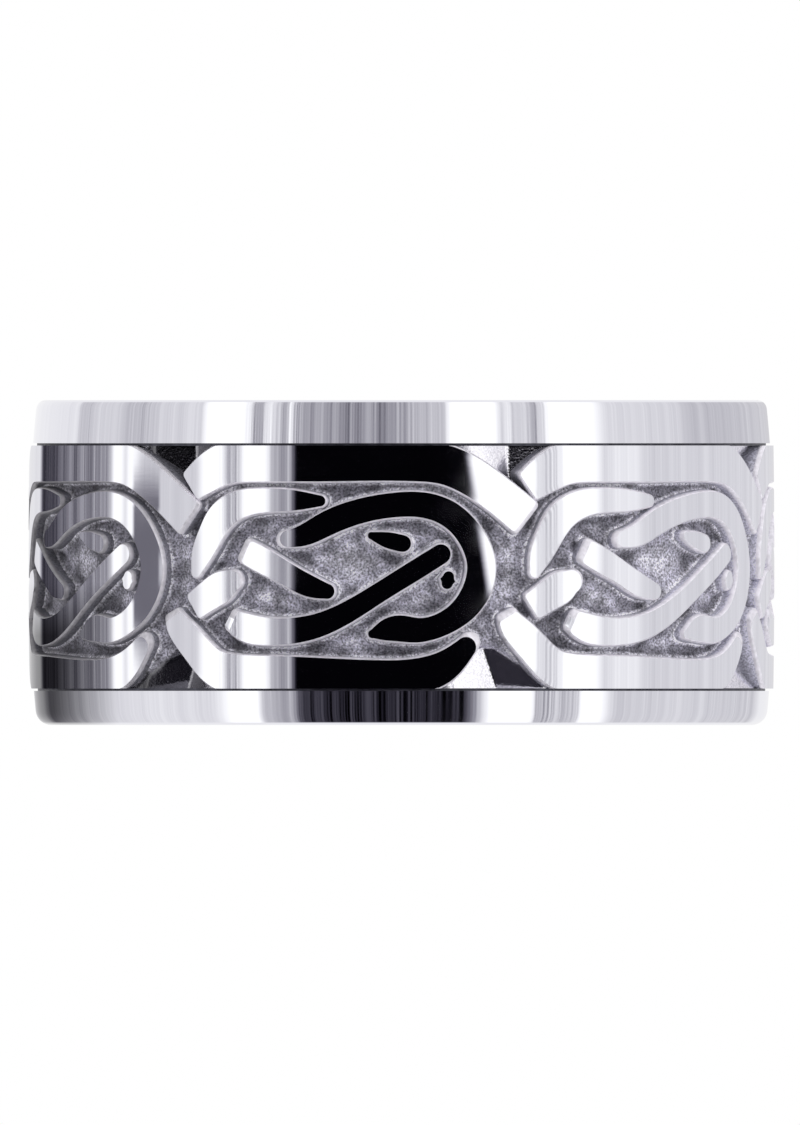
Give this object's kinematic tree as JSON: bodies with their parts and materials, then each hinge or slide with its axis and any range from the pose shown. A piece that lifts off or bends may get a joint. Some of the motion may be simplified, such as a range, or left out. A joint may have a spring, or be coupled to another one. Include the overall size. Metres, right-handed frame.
{
  "type": "wedding band ring",
  "caption": "Wide silver finger ring with a raised interlaced knot pattern on a sunk ground between two plain polished rails.",
  "frame": {"origin": "centre of the lower face, on the finger axis, with the ring lying on its side", "axes": "+Z along the finger axis, from the narrow rail to the wide rail; -Y towards the viewer of the picture"},
  "size_m": [0.023, 0.023, 0.01],
  "materials": {
    "ring_band": "mirror polished sterling silver, oxidised in the sunk ground"
  },
  "bodies": {
    "root": {"ring_band": "ring_band"}
  },
  "joints": []
}
